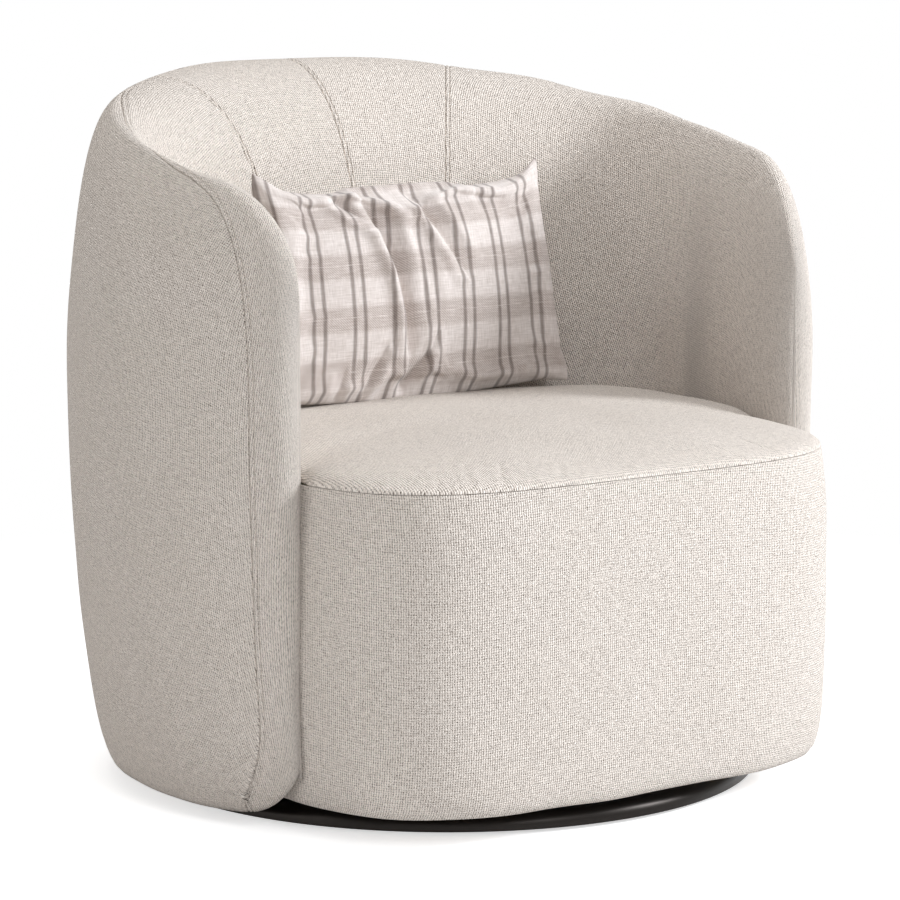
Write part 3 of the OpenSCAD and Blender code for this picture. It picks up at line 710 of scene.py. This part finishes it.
def pillow_face(u, v, side):
    """One face of a plain filled pillow with pointed corners, on a grid from -1 to 1."""
    width, height, depth = PILLOW_W / 2 - 1.5, PILLOW_H / 2 - 1.5, PILLOW_T / 2 - 2
    x = width * u * (1 - 0.02 * (1 - v * v) * abs(u) ** 3) + 9.0 * limited(u) ** 2 * (1 - v) / 2
    dip = np.where(v > 0, 17.0 * (1 - abs(u) ** 4.2), 1.5 * (1 - abs(u) ** 3))
    y = height * v - dip * v * abs(v)
    fullness = np.maximum(1 - abs(u) ** 2.5, 0) ** 0.58 * np.maximum(1 - abs(v) ** 2.3, 0) ** 0.58
    z = side * depth * fullness
    if side > 0:
        z = z * (1 - 0.12 * np.exp(-((u + 0.05) * 4) ** 2) * (0.4 + 0.6 * limited(v + 0.4)))
    return x, y, z


def pillow_grid(columns, rows, full=1.0, z_front=1.0, z_back=1.0):
    """Vertices, faces and lengths of cloth of a pillow's front and back."""
    a, b = np.linspace(-1, 1, columns), np.linspace(-1, 1, rows)
    u, v = np.meshgrid(np.sign(a) * abs(a) ** 0.9, np.sign(b) * abs(b) ** 0.9, indexing="ij")
    verts, faces, uvs = [], [], []
    for side, scale in ((1, z_front), (-1, z_back)):
        x, y, z = pillow_face(u, v, side)
        verts.append(np.stack([x * full, y * full, z * scale], axis=2).reshape(-1, 3))
        faces += grid_faces(columns, rows, start=0 if side > 0 else columns * rows, flip=side < 0)
        uvs.append(np.stack([PILLOW_W / 2 * u, PILLOW_H / 2 * v], axis=2).reshape(-1, 2))
    return np.concatenate(verts), faces, np.concatenate(uvs)


def crease(x, y, points, half, depth, lean):
    """A sharp valley with a swell on both sides, along a line in the pillow's plane."""
    line = np.array([[a, b, 0.0] for a, b in points], float)
    # cutting the corners three times makes the line a smooth one
    for _ in range(3):
        middles = (line[1:] + line[:-1]) / 2
        line = np.concatenate([line[:1], middles, line[-1:]])
    path = resample(line, np.linspace(0, length(line), 120))[:, :2]
    here = np.stack([x, y], axis=1)
    square = ((here[:, None, :] - path[None]) ** 2).sum(2)
    k = square.argmin(1)
    course = np.gradient(path, axis=0)
    course /= np.linalg.norm(course, axis=1)[:, None]
    off = here - path[k]
    side = np.sign(off[:, 0] * -course[k, 1] + off[:, 1] * course[k, 0]) * lean
    away = np.sqrt(square[np.arange(len(here)), k])
    taper = np.sin(np.pi * np.clip(0.10 + 0.82 * (k / (len(path) - 1)), 0, 1)) ** 0.8
    press = np.exp(-(away / np.where(side > 0, half * 1.25, half * 0.5)) ** 1.25)
    top_at = np.where(side > 0, 2.3, 1.35) * half
    rise = np.where(side > 0, 0.32, 0.5) * np.exp(-((away - top_at) / (0.8 * half)) ** 2)
    return (rise - press) * depth * taper


def inflate(obj, pressure, stretch, cap, frames):
    """Lets the cloth swell and wrinkle under pressure, by no more than the cap in millimetres."""
    start = points_of(obj)
    cloth = obj.modifiers.new("cloth_sim", "CLOTH")
    settings = cloth.settings
    settings.quality = 5
    settings.mass = 0.25
    settings.tension_stiffness = settings.compression_stiffness = 18
    settings.shear_stiffness = 6
    settings.bending_stiffness = 0.12
    settings.use_pressure = True
    settings.uniform_pressure_force = pressure
    settings.shrink_min = -stretch
    settings.effector_weights.gravity = 0
    cloth.collision_settings.use_collision = False
    cloth.collision_settings.use_self_collision = False
    cloth.point_cache.frame_end = frames
    for f in range(1, frames + 1):
        bpy.context.scene.frame_set(f)
    frozen(obj)
    bpy.context.scene.frame_set(1)
    move = points_of(obj) - start
    far = np.linalg.norm(move, axis=1)
    limit = cap * MM
    factor = np.where(far > 1e-9, limit * np.tanh(far / limit) / np.maximum(far, 1e-9), 1.0)
    set_points(obj, start + move * factor[:, None])


def build_pillow():
    obj = new_object("pillow_cover", *pillow_grid(124, 84))
    weld(obj, 0.05)
    inflate(obj, pressure=2.5, stretch=0.05, cap=7.0, frames=20)
    fine = obj.modifiers.new("fine", "SUBSURF")
    fine.levels = fine.render_levels = 1
    frozen(obj)
    p = points_of(obj) / MM
    front = smooth(limited((p[:, 2] - 1.5) / 16.0))
    facing = np.flatnonzero(front > 0)
    push = np.zeros(len(p))
    for points, half, depth, lean in FOLDS:
        push[facing] += crease(p[facing, 0], p[facing, 1], points, half, depth, lean)
    # small gathers along the edge seam
    edge = np.exp(-(np.minimum(abs(p[:, 2]), 40) / 14.0) ** 2)
    waves = np.sin(p[:, 0] * 0.24 + 1.6 * np.sin(p[:, 0] * 0.055))
    gather = 0.9 * edge * waves * np.where(abs(p[:, 1]) > 80, 1, 0.3)
    p[:, 2] += front * push + gather * np.sign(p[:, 2]) * limited(abs(p[:, 2]) / 6)
    half_box = np.array([PILLOW_W / 2 + 11, PILLOW_H / 2 + 2, PILLOW_T / 2 + 3])
    set_points(obj, np.clip(p, -half_box, half_box) * MM)
    shade_smooth(obj.data)
    obj.data.transform(TILT)
    return obj


def build_filling():
    obj = new_object("pillow_filling", *pillow_grid(64, 44, 0.88, 0.34, 0.66))
    weld(obj, 0.05)
    obj.data.transform(TILT)
    return obj


# Hidden soft parts, made from the nodes' own forms
def node_copy(name, node):
    obj = bpy.data.objects.new(name, frame["nodes"][node].data.copy())
    bpy.context.collection.objects.link(obj)
    obj.data.materials.clear()
    return obj


def softened(name, node, voxel):
    """Foam: the node's form with rounded, softened edges."""
    obj = node_copy(name, node)
    mesher = obj.modifiers.new("remesh", "REMESH")
    mesher.mode = "VOXEL"
    mesher.voxel_size = voxel * MM
    soften = obj.modifiers.new("soften", "SMOOTH")
    soften.factor = 0.5
    soften.iterations = 6
    frozen(obj)
    shade_smooth(obj.data)
    return obj


def bevelled(name, node):
    """Straps: the node's form with its edges broken."""
    obj = node_copy(name, node)
    weld(obj, 0.01)
    edge = obj.modifiers.new("edge", "BEVEL")
    edge.width = 0.5 * MM
    edge.segments = 2
    edge.limit_method = "ANGLE"
    frozen(obj)
    return obj


def build_dust_cover():
    """Thin cloth stapled flat under the panel, with a faint sag between its fixings."""
    count = 180
    turn = np.linspace(0, 2 * math.pi, count, endpoint=False)
    inner, outer = 160.4, 285.4
    radii = [inner, 162, *np.linspace(168, 278, 12), 284, outer]
    grid = []
    for r in radii:
        sag = math.sin(math.pi * (r - inner) / 125.0)
        z = 32.55 - 0.35 * sag * (0.6 + 0.4 * np.sin(turn * 16 + r * 0.05))
        grid.append(np.stack([r * np.cos(turn), r * np.sin(turn), z], axis=1))
    verts = np.concatenate(grid)
    obj = new_object("dust_cover_cloth", verts, grid_faces(len(radii), count, wrap=True), verts[:, :2])
    weld(obj)
    thicken(obj, 0.3)
    return obj


# Material nodes. A net is a node tree, and most functions return the socket that they make.
def shader(name):
    mat = bpy.data.materials.new(name)
    mat.use_nodes = True
    return mat, mat.node_tree, mat.node_tree.nodes["Principled BSDF"]


def set_inputs(node, values):
    for name, value in values.items():
        node.inputs[name].default_value = value


def feed(net, socket, value):
    """Sets a socket to a number or a colour, or links another socket to it."""
    if isinstance(value, (int, float)):
        socket.default_value = value
    elif isinstance(value, tuple):
        socket.default_value = (*value, 1)
    else:
        net.links.new(value, socket)


def value_node(net, operation, *values, clamp=False):
    node = net.nodes.new("ShaderNodeMath")
    node.operation = operation
    node.use_clamp = clamp
    for socket, value in zip(node.inputs, values):
        feed(net, socket, value)
    return node.outputs[0]


def times(net, a, b):
    return value_node(net, "MULTIPLY", a, b)


def weighted(net, x, factor, rest, clamp=False):
    return value_node(net, "MULTIPLY_ADD", x, factor, rest, clamp=clamp)


def vector_node(net, operation, *values):
    node = net.nodes.new("ShaderNodeVectorMath")
    node.operation = operation
    for socket, value in zip(node.inputs, values):
        if isinstance(value, tuple):
            socket.default_value = value
        else:
            net.links.new(value, socket)
    return node


def scaled(net, vector, factor):
    return vector_node(net, "MULTIPLY", vector, factor).outputs[0]


def colour_mix(net, share, a, b):
    node = net.nodes.new("ShaderNodeMix")
    node.data_type = "RGBA"
    for name, value in (("Factor", share), ("A", a), ("B", b)):
        feed(net, node.inputs[name], value)
    return node.outputs["Result"]


def lin(*rgb):
    """A colour from 0 to 255 as it looks on a screen, as linear light."""
    return tuple(c / 12.92 if c <= 0.04045 else ((c + 0.055) / 1.055) ** 2.4 for c in (x / 255 for x in rgb))


def noise_node(net, vector, scale, detail=2.0, rough=0.5):
    node = net.nodes.new("ShaderNodeTexNoise")
    set_inputs(node, {"Scale": scale, "Detail": detail, "Roughness": rough})
    net.links.new(vector, node.inputs["Vector"])
    return node


def noise(net, vector, scale, detail=2.0, rough=0.5):
    return noise_node(net, vector, scale, detail, rough).outputs["Fac"]


def ranged(net, x, low, high, out_low=0.0, out_high=1.0):
    node = net.nodes.new("ShaderNodeMapRange")
    set_inputs(node, {"From Min": low, "From Max": high, "To Min": out_low, "To Max": out_high})
    net.links.new(x, node.inputs["Value"])
    return node.outputs[0]


def relief(net, bsdf, height, strength, distance):
    bump = net.nodes.new("ShaderNodeBump")
    set_inputs(bump, {"Strength": strength, "Distance": distance})
    net.links.new(height, bump.inputs["Height"])
    net.links.new(bump.outputs[0], bsdf.inputs["Normal"])


def cloth_place(net):
    """The place on a cloth, in metres along both threads."""
    uv_map = net.nodes.new("ShaderNodeUVMap")
    uv_map.uv_map = "weave"
    return uv_map.outputs[0]


def numbers_of(net, vector):
    node = net.nodes.new("ShaderNodeSeparateXYZ")
    net.links.new(vector, node.inputs[0])
    return node.outputs[0], node.outputs[1]


def wave(net, x, pitch):
    return value_node(net, "SINE", times(net, x, math.pi / pitch))


def weave_height(net, x, y, pitch):
    """Plain weave: threads that go over and under each other, as a height from 0 to 1."""
    wave_x, wave_y = wave(net, x, pitch), wave(net, y, pitch)
    over = weighted(net, times(net, wave_x, wave_y), 0.5, 0.5)
    under = value_node(net, "SUBTRACT", 1.0, over)
    warp = times(net, value_node(net, "ABSOLUTE", wave_x), over)
    weft = times(net, value_node(net, "ABSOLUTE", wave_y), under)
    return value_node(net, "MAXIMUM", warp, weft)


def cream_material():
    """Coarse basket weave of uneven yarn."""
    thread = 0.0025
    mat, net, bsdf = shader("cream_basket_weave")
    straight = cloth_place(net)
    # the threads wander a little
    wander = noise_node(net, straight, 150.0).outputs["Color"]
    place = vector_node(net, "MULTIPLY_ADD", wander, (0.0018, 0.0018, 0.0), straight).outputs[0]
    x, y = numbers_of(net, place)
    # upright ribs, because the warp is the thicker yarn
    rib = value_node(net, "ABSOLUTE", wave(net, x, thread))
    # thick and thin yarn: streaks a few threads long both ways
    slub_u = noise(net, scaled(net, place, (90.0, 380.0, 1.0)), 1.0, 2.0, 0.6)
    slub_v = noise(net, scaled(net, place, (380.0, 90.0, 1.0)), 1.0, 2.0, 0.6)
    grain = noise(net, place, 540.0, 2.0, 0.6)
    fuzz = noise(net, place, 1700.0)
    tone = noise(net, place, 9.0, 3.0)
    height = weighted(net, weave_height(net, x, y, thread), 1.5, times(net, rib, 0.3))
    for part, share in ((slub_u, 0.45), (slub_v, 0.3), (grain, 1.0), (fuzz, 0.25)):
        height = weighted(net, part, share, height)
    # the height is about 1.0 in the pits and 2.5 on the thick threads, and fibres fill some pits; the open
    # pits get painted shade, a dark colour where the height is low
    pit_shade = ranged(net, height, 1.28, 1.90)
    filled = ranged(net, noise(net, place, 310.0, 1.0), 0.40, 0.62, 0.0, 0.7)
    yarn = colour_mix(net, tone, lin(240, 229, 218), lin(246, 236, 227))
    yarn = colour_mix(net, ranged(net, grain, 0.5, 0.72), yarn, lin(245, 240, 232))
    # painted shade: the open pits of the weave are coloured dark brown, and lighter where fibres fill them
    colour = colour_mix(net, value_node(net, "MAXIMUM", pit_shade, filled), lin(78, 68, 58), yarn)
    specks = ranged(net, noise(net, place, 760.0, 1.0), 0.28, 0.38)
    colour = colour_mix(net, specks, lin(158, 146, 132), colour)
    # uneven yarn: lighter and darker lengths both ways
    both_ways = times(net, value_node(net, "ADD", slub_u, slub_v), 0.5)
    shade = ranged(net, both_ways, 0.38, 0.57, 0.84, 1.0)
    net.links.new(colour_mix(net, shade, lin(146, 130, 118), colour), bsdf.inputs["Base Color"])
    set_inputs(bsdf, {"Roughness": 0.95, "Specular IOR Level": 0.2, "Sheen Weight": 0.18,
                      "Sheen Roughness": 0.6, "Sheen Tint": (1, 0.97, 0.93, 1)})
    relief(net, bsdf, height, 0.8, 0.0011)
    return mat


def stripes(net, x, period, offset, width, soft):
    """1 inside a band of the given width that repeats, else 0."""
    # forty periods are added so that the number stays positive
    x = value_node(net, "ADD", value_node(net, "SUBTRACT", x, offset - period / 2), period * 40)
    x = value_node(net, "SUBTRACT", value_node(net, "MODULO", x, period), period / 2)
    ramp = net.nodes.new("ShaderNodeMapRange")
    set_inputs(ramp, {"From Min": width / 2 + soft, "From Max": width / 2 - soft})
    net.links.new(value_node(net, "ABSOLUTE", x), ramp.inputs["Value"])
    return ramp.outputs[0]


def plaid_material():
    """Twill with a broad shaded band one way, pairs of dark stripes the other, and a white line."""
    repeat_u, repeat_v, twill_pitch, fine_pitch = 0.0478, 0.0572, 0.0028, 0.0008
    mat, net, bsdf = shader("greige_plaid")
    place = cloth_place(net)
    u, v = numbers_of(net, place)
    # streaks along both threads
    streak = noise(net, scaled(net, place, (55.0, 700.0, 1.0)), 1.0, 3.0, 0.6)
    warp_streak = noise(net, scaled(net, place, (700.0, 70.0, 1.0)), 1.0)
    mixed = weighted(net, warp_streak, 0.45, times(net, streak, 0.55))
    colour = colour_mix(net, ranged(net, mixed, 0.3, 0.7), lin(192, 181, 174), lin(230, 222, 218))
    twill = wave(net, value_node(net, "ADD", u, v), twill_pitch / 2)
    hatch = weighted(net, twill, 0.24, weighted(net, streak, -0.5, 0.62))
    band = times(net, stripes(net, v, repeat_v, 0.020, 0.0270, 0.0028), hatch)
    colour = colour_mix(net, band, colour, lin(140, 122, 112))
    pair = (stripes(net, u, repeat_u, at, 0.0044, 0.0011) for at in (0.0, 0.0128))
    dark = times(net, value_node(net, "MAXIMUM", *pair), weighted(net, warp_streak, 0.7, 0.26))
    colour = colour_mix(net, dark, colour, lin(84, 68, 60))
    white = stripes(net, v, repeat_v, 0.0215, 0.0009, 0.0002)
    white = times(net, white, weighted(net, streak, 1.6, -0.6, clamp=True))
    net.links.new(colour_mix(net, white, colour, lin(238, 230, 224)), bsdf.inputs["Base Color"])
    set_inputs(bsdf, {"Roughness": 0.85, "Specular IOR Level": 0.3, "Sheen Weight": 0.3,
                      "Sheen Roughness": 0.5})
    relief(net, bsdf, weighted(net, streak, 0.6, weave_height(net, u, v, fine_pitch)), 0.4, 0.0004)
    return mat


def simple(name, colour, rough, metal, scale, vary, depth=0.0003, specular=0.5, stretch=(1, 1, 1)):
    """A material with colour variation and fine relief from noise."""
    mat, net, bsdf = shader(name)
    place = net.nodes.new("ShaderNodeTexCoord").outputs["Object"]
    grain = noise(net, scaled(net, place, stretch), scale, 4.0, 0.55)
    dark = tuple(c * (1 - vary) for c in colour)
    light = tuple(min(1, c * (1 + vary)) for c in colour)
    net.links.new(colour_mix(net, grain, dark, light), bsdf.inputs["Base Color"])
    set_inputs(bsdf, {"Roughness": rough, "Metallic": metal, "Specular IOR Level": specular})
    relief(net, bsdf, grain, 0.3, depth)
    return mat


SLOT_LOOK = {
    "cream_weave": cream_material(),
    "plaid_cloth": plaid_material(),
    "bronze_steel": simple("dark_bronze_steel", lin(38, 35, 33), 0.34, 0.9, 900.0, 0.08, 0.00004),
    "plywood": simple("birch_plywood", lin(205, 170, 122), 0.6, 0.0, 14.0, 0.15, 0.0002, 0.4, (1, 6, 40)),
    "black_nylon": simple("black_nylon", lin(26, 26, 27), 0.5, 0.0, 300.0, 0.2),
    "zinc_steel": simple("zinc_steel", lin(176, 178, 182), 0.35, 1.0, 250.0, 0.08),
    "dark_bolt": simple("oxide_steel", lin(60, 60, 64), 0.45, 1.0, 250.0, 0.15),
    "cage_plastic": simple("cage_plastic", lin(214, 208, 196), 0.5, 0.0, 200.0, 0.05),
    "lining_cloth": simple("black_lining", lin(24, 24, 25), 0.95, 0.0, 700.0, 0.3, 0.0004, 0.2),
    "webbing": simple("elastic_webbing", lin(48, 48, 52), 0.85, 0.0, 500.0, 0.25, 0.0004, 0.3),
    "foam": simple("cut_foam", lin(236, 226, 176), 0.95, 0.0, 500.0, 0.06, 0.0006, 0.2),
    "fibre_fill": simple("white_cotton", lin(240, 240, 236), 0.95, 0.0, 700.0, 0.04, 0.0002, 0.2),
}
for part in frame["record"]["subparts"]:
    obj = frame["nodes"][part["node"]]
    look = SLOT_LOOK[part["material_slot"]]
    if obj.material_slots:
        for slot in obj.material_slots:
            slot.material = look
    else:
        obj.data.materials.append(look)


# The pieces, each on its body and in place of its nodes
def finish_piece(obj, body, slot_name, *nodes):
    obj.data.materials.append(SLOT_LOOK[slot_name])
    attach(obj, body)
    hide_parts(*nodes)


COVER_CLOTH = 2.2
for index, (tag, node) in enumerate(PANELS.items()):
    cover = panel_object(index, tag + "_cover_panel")
    thicken(cover, COVER_CLOTH)
    finish_piece(cover, "chair", "cream_weave", node)
border = build_border()
thicken(border, COVER_CLOTH)
finish_piece(border, "chair", "cream_weave", "seat_border")
seat = build_seat_top()
thicken(seat, COVER_CLOTH)
finish_piece(seat, "chair", "cream_weave", "seat_top")
pillow = build_pillow()
finish_piece(pillow, "pillow", "plaid_cloth", "pillow_front", "pillow_back")
filling = build_filling()
finish_piece(filling, "pillow", "fibre_fill", "pillow_insert")
for node, voxel in (("seat_foam", 9), ("back_foam", 9), ("arm_foam_left", 7), ("arm_foam_right", 7),
                    ("front_pad", 6), ("hem_welt", 3)):
    pad = softened(node + "_soft", node, voxel)
    finish_piece(pad, "chair", "foam", node)
for node in ("webbing_long", "webbing_cross", "back_webbing"):
    finish_piece(bevelled(node + "_straps", node), "chair", "webbing", node)
cover_below = build_dust_cover()
finish_piece(cover_below, "chair", "lining_cloth", "dust_cover")


# Stage and light
def mix_shader(net, *inputs):
    node = net.nodes.new("ShaderNodeMixShader")
    for socket, value in zip(node.inputs, inputs):
        net.links.new(value, socket)
    return node.outputs[0]


def emission(net, strength):
    node = net.nodes.new("ShaderNodeEmission")
    set_inputs(node, {"Strength": strength})
    return node.outputs[0]


def floor_material():
    """White round about, with the object's shadow kept close to it."""
    mat, net, bsdf = shader("pale_floor")
    set_inputs(bsdf, {"Base Color": (0.86, 0.86, 0.86, 1), "Roughness": 0.9, "Specular IOR Level": 0.0})
    lit = net.nodes.new("ShaderNodeAddShader")
    net.links.new(bsdf.outputs[0], lit.inputs[0])
    net.links.new(emission(net, 0.62), lit.inputs[1])
    place = net.nodes.new("ShaderNodeTexCoord").outputs["Object"]
    far = ranged(net, vector_node(net, "LENGTH", place).outputs["Value"], 0.6, 1.5)
    path = net.nodes.new("ShaderNodeLightPath").outputs
    seen = value_node(net, "MAXIMUM", path["Is Camera Ray"], path["Is Glossy Ray"])
    shown = mix_shader(net, far, lit.outputs[0], emission(net, 1.0))
    surface = mix_shader(net, seen, bsdf.outputs[0], shown)
    net.links.new(surface, net.nodes["Material Output"].inputs["Surface"])
    return mat


def build_floor():
    mesh = bpy.data.meshes.new("floor")
    mesh.from_pydata([(-7, -7, 0), (7, -7, 0), (7, 7, 0), (-7, 7, 0)], [], [(0, 1, 2, 3)])
    mesh.materials.append(floor_material())
    obj = bpy.data.objects.new("floor", mesh)
    bpy.context.collection.objects.link(obj)
    return obj


def set_world():
    """Soft light all round, and a white background where the camera or a reflection sees it."""
    world = bpy.data.worlds.new("studio")
    bpy.context.scene.world = world
    world.use_nodes = True
    net = world.node_tree
    soft = net.nodes["Background"]
    set_inputs(soft, {"Color": (1.0, 0.98, 0.97, 1), "Strength": 0.32})
    white = net.nodes.new("ShaderNodeBackground")
    set_inputs(white, {"Color": (1, 1, 1, 1), "Strength": 1.0})
    path = net.nodes.new("ShaderNodeLightPath").outputs
    seen = value_node(net, "MAXIMUM", path["Is Glossy Ray"], path["Is Transmission Ray"])
    seen = value_node(net, "MAXIMUM", path["Is Camera Ray"], seen)
    shown = mix_shader(net, seen, soft.outputs[0], white.outputs[0])
    net.links.new(shown, net.nodes["World Output"].inputs["Surface"])


def area_light(name, at, target, size, power, colour=(1, 1, 1)):
    data = bpy.data.lights.new(name, "AREA")
    data.shape = "DISK"
    data.size = size
    data.energy = power
    data.color = colour
    obj = bpy.data.objects.new(name, data)
    obj.location = at
    obj.rotation_euler = (Vector(target) - Vector(at)).to_track_quat("-Z", "Y").to_euler()
    bpy.context.collection.objects.link(obj)


floor = build_floor()
set_world()
area_light("key", (2.7, -2.3, 2.0), (0, 0, 0.4), 1.1, 150.0, (0.92, 0.955, 1.0))
area_light("front", (-0.3, -3.5, 2.2), (0, 0, 0.5), 1.6, 46.0, (0.95, 0.97, 1.0))
area_light("top", (-0.1, 0.4, 3.2), (0, 0, 0.5), 1.8, 26.0)
area_light("fill", (-3.2, 0.6, 1.2), (0, 0, 0.4), 2.0, 24.0, (1.0, 0.99, 0.98))

# Camera, fitted to the photograph: degrees round and down, metres away, up and sideways, and the
# focal length in pixels of a picture 900 pixels wide
AZIMUTH, PITCH, AWAY, UP, SIDEWAYS = -35.34, 8.84, 4.063, 0.970, 0.0032
FOCAL, PICTURE, SENSOR = 3854, 900, 36.0
azimuth, pitch = math.radians(AZIMUTH), math.radians(PITCH)
right = Vector((math.cos(azimuth), math.sin(azimuth), 0))
rear = Vector((math.sin(azimuth) * math.cos(pitch), -math.cos(azimuth) * math.cos(pitch), math.sin(pitch)))
up = rear.cross(right)
spot = Vector((math.sin(azimuth), -math.cos(azimuth), 0)) * AWAY + Vector((0, 0, UP)) + right * SIDEWAYS
lens = bpy.data.cameras.new("camera")
lens.sensor_width = SENSOR
lens.lens = FOCAL * SENSOR / PICTURE
lens.dof.use_dof = False
camera = bpy.data.objects.new("camera", lens)
bpy.context.collection.objects.link(camera)
camera.matrix_world = Matrix(((right.x, up.x, rear.x, spot.x), (right.y, up.y, rear.y, spot.y),
                              (right.z, up.z, rear.z, spot.z), (0, 0, 0, 1)))
bpy.context.scene.camera = camera
bpy.context.scene.view_settings.view_transform = "Standard"
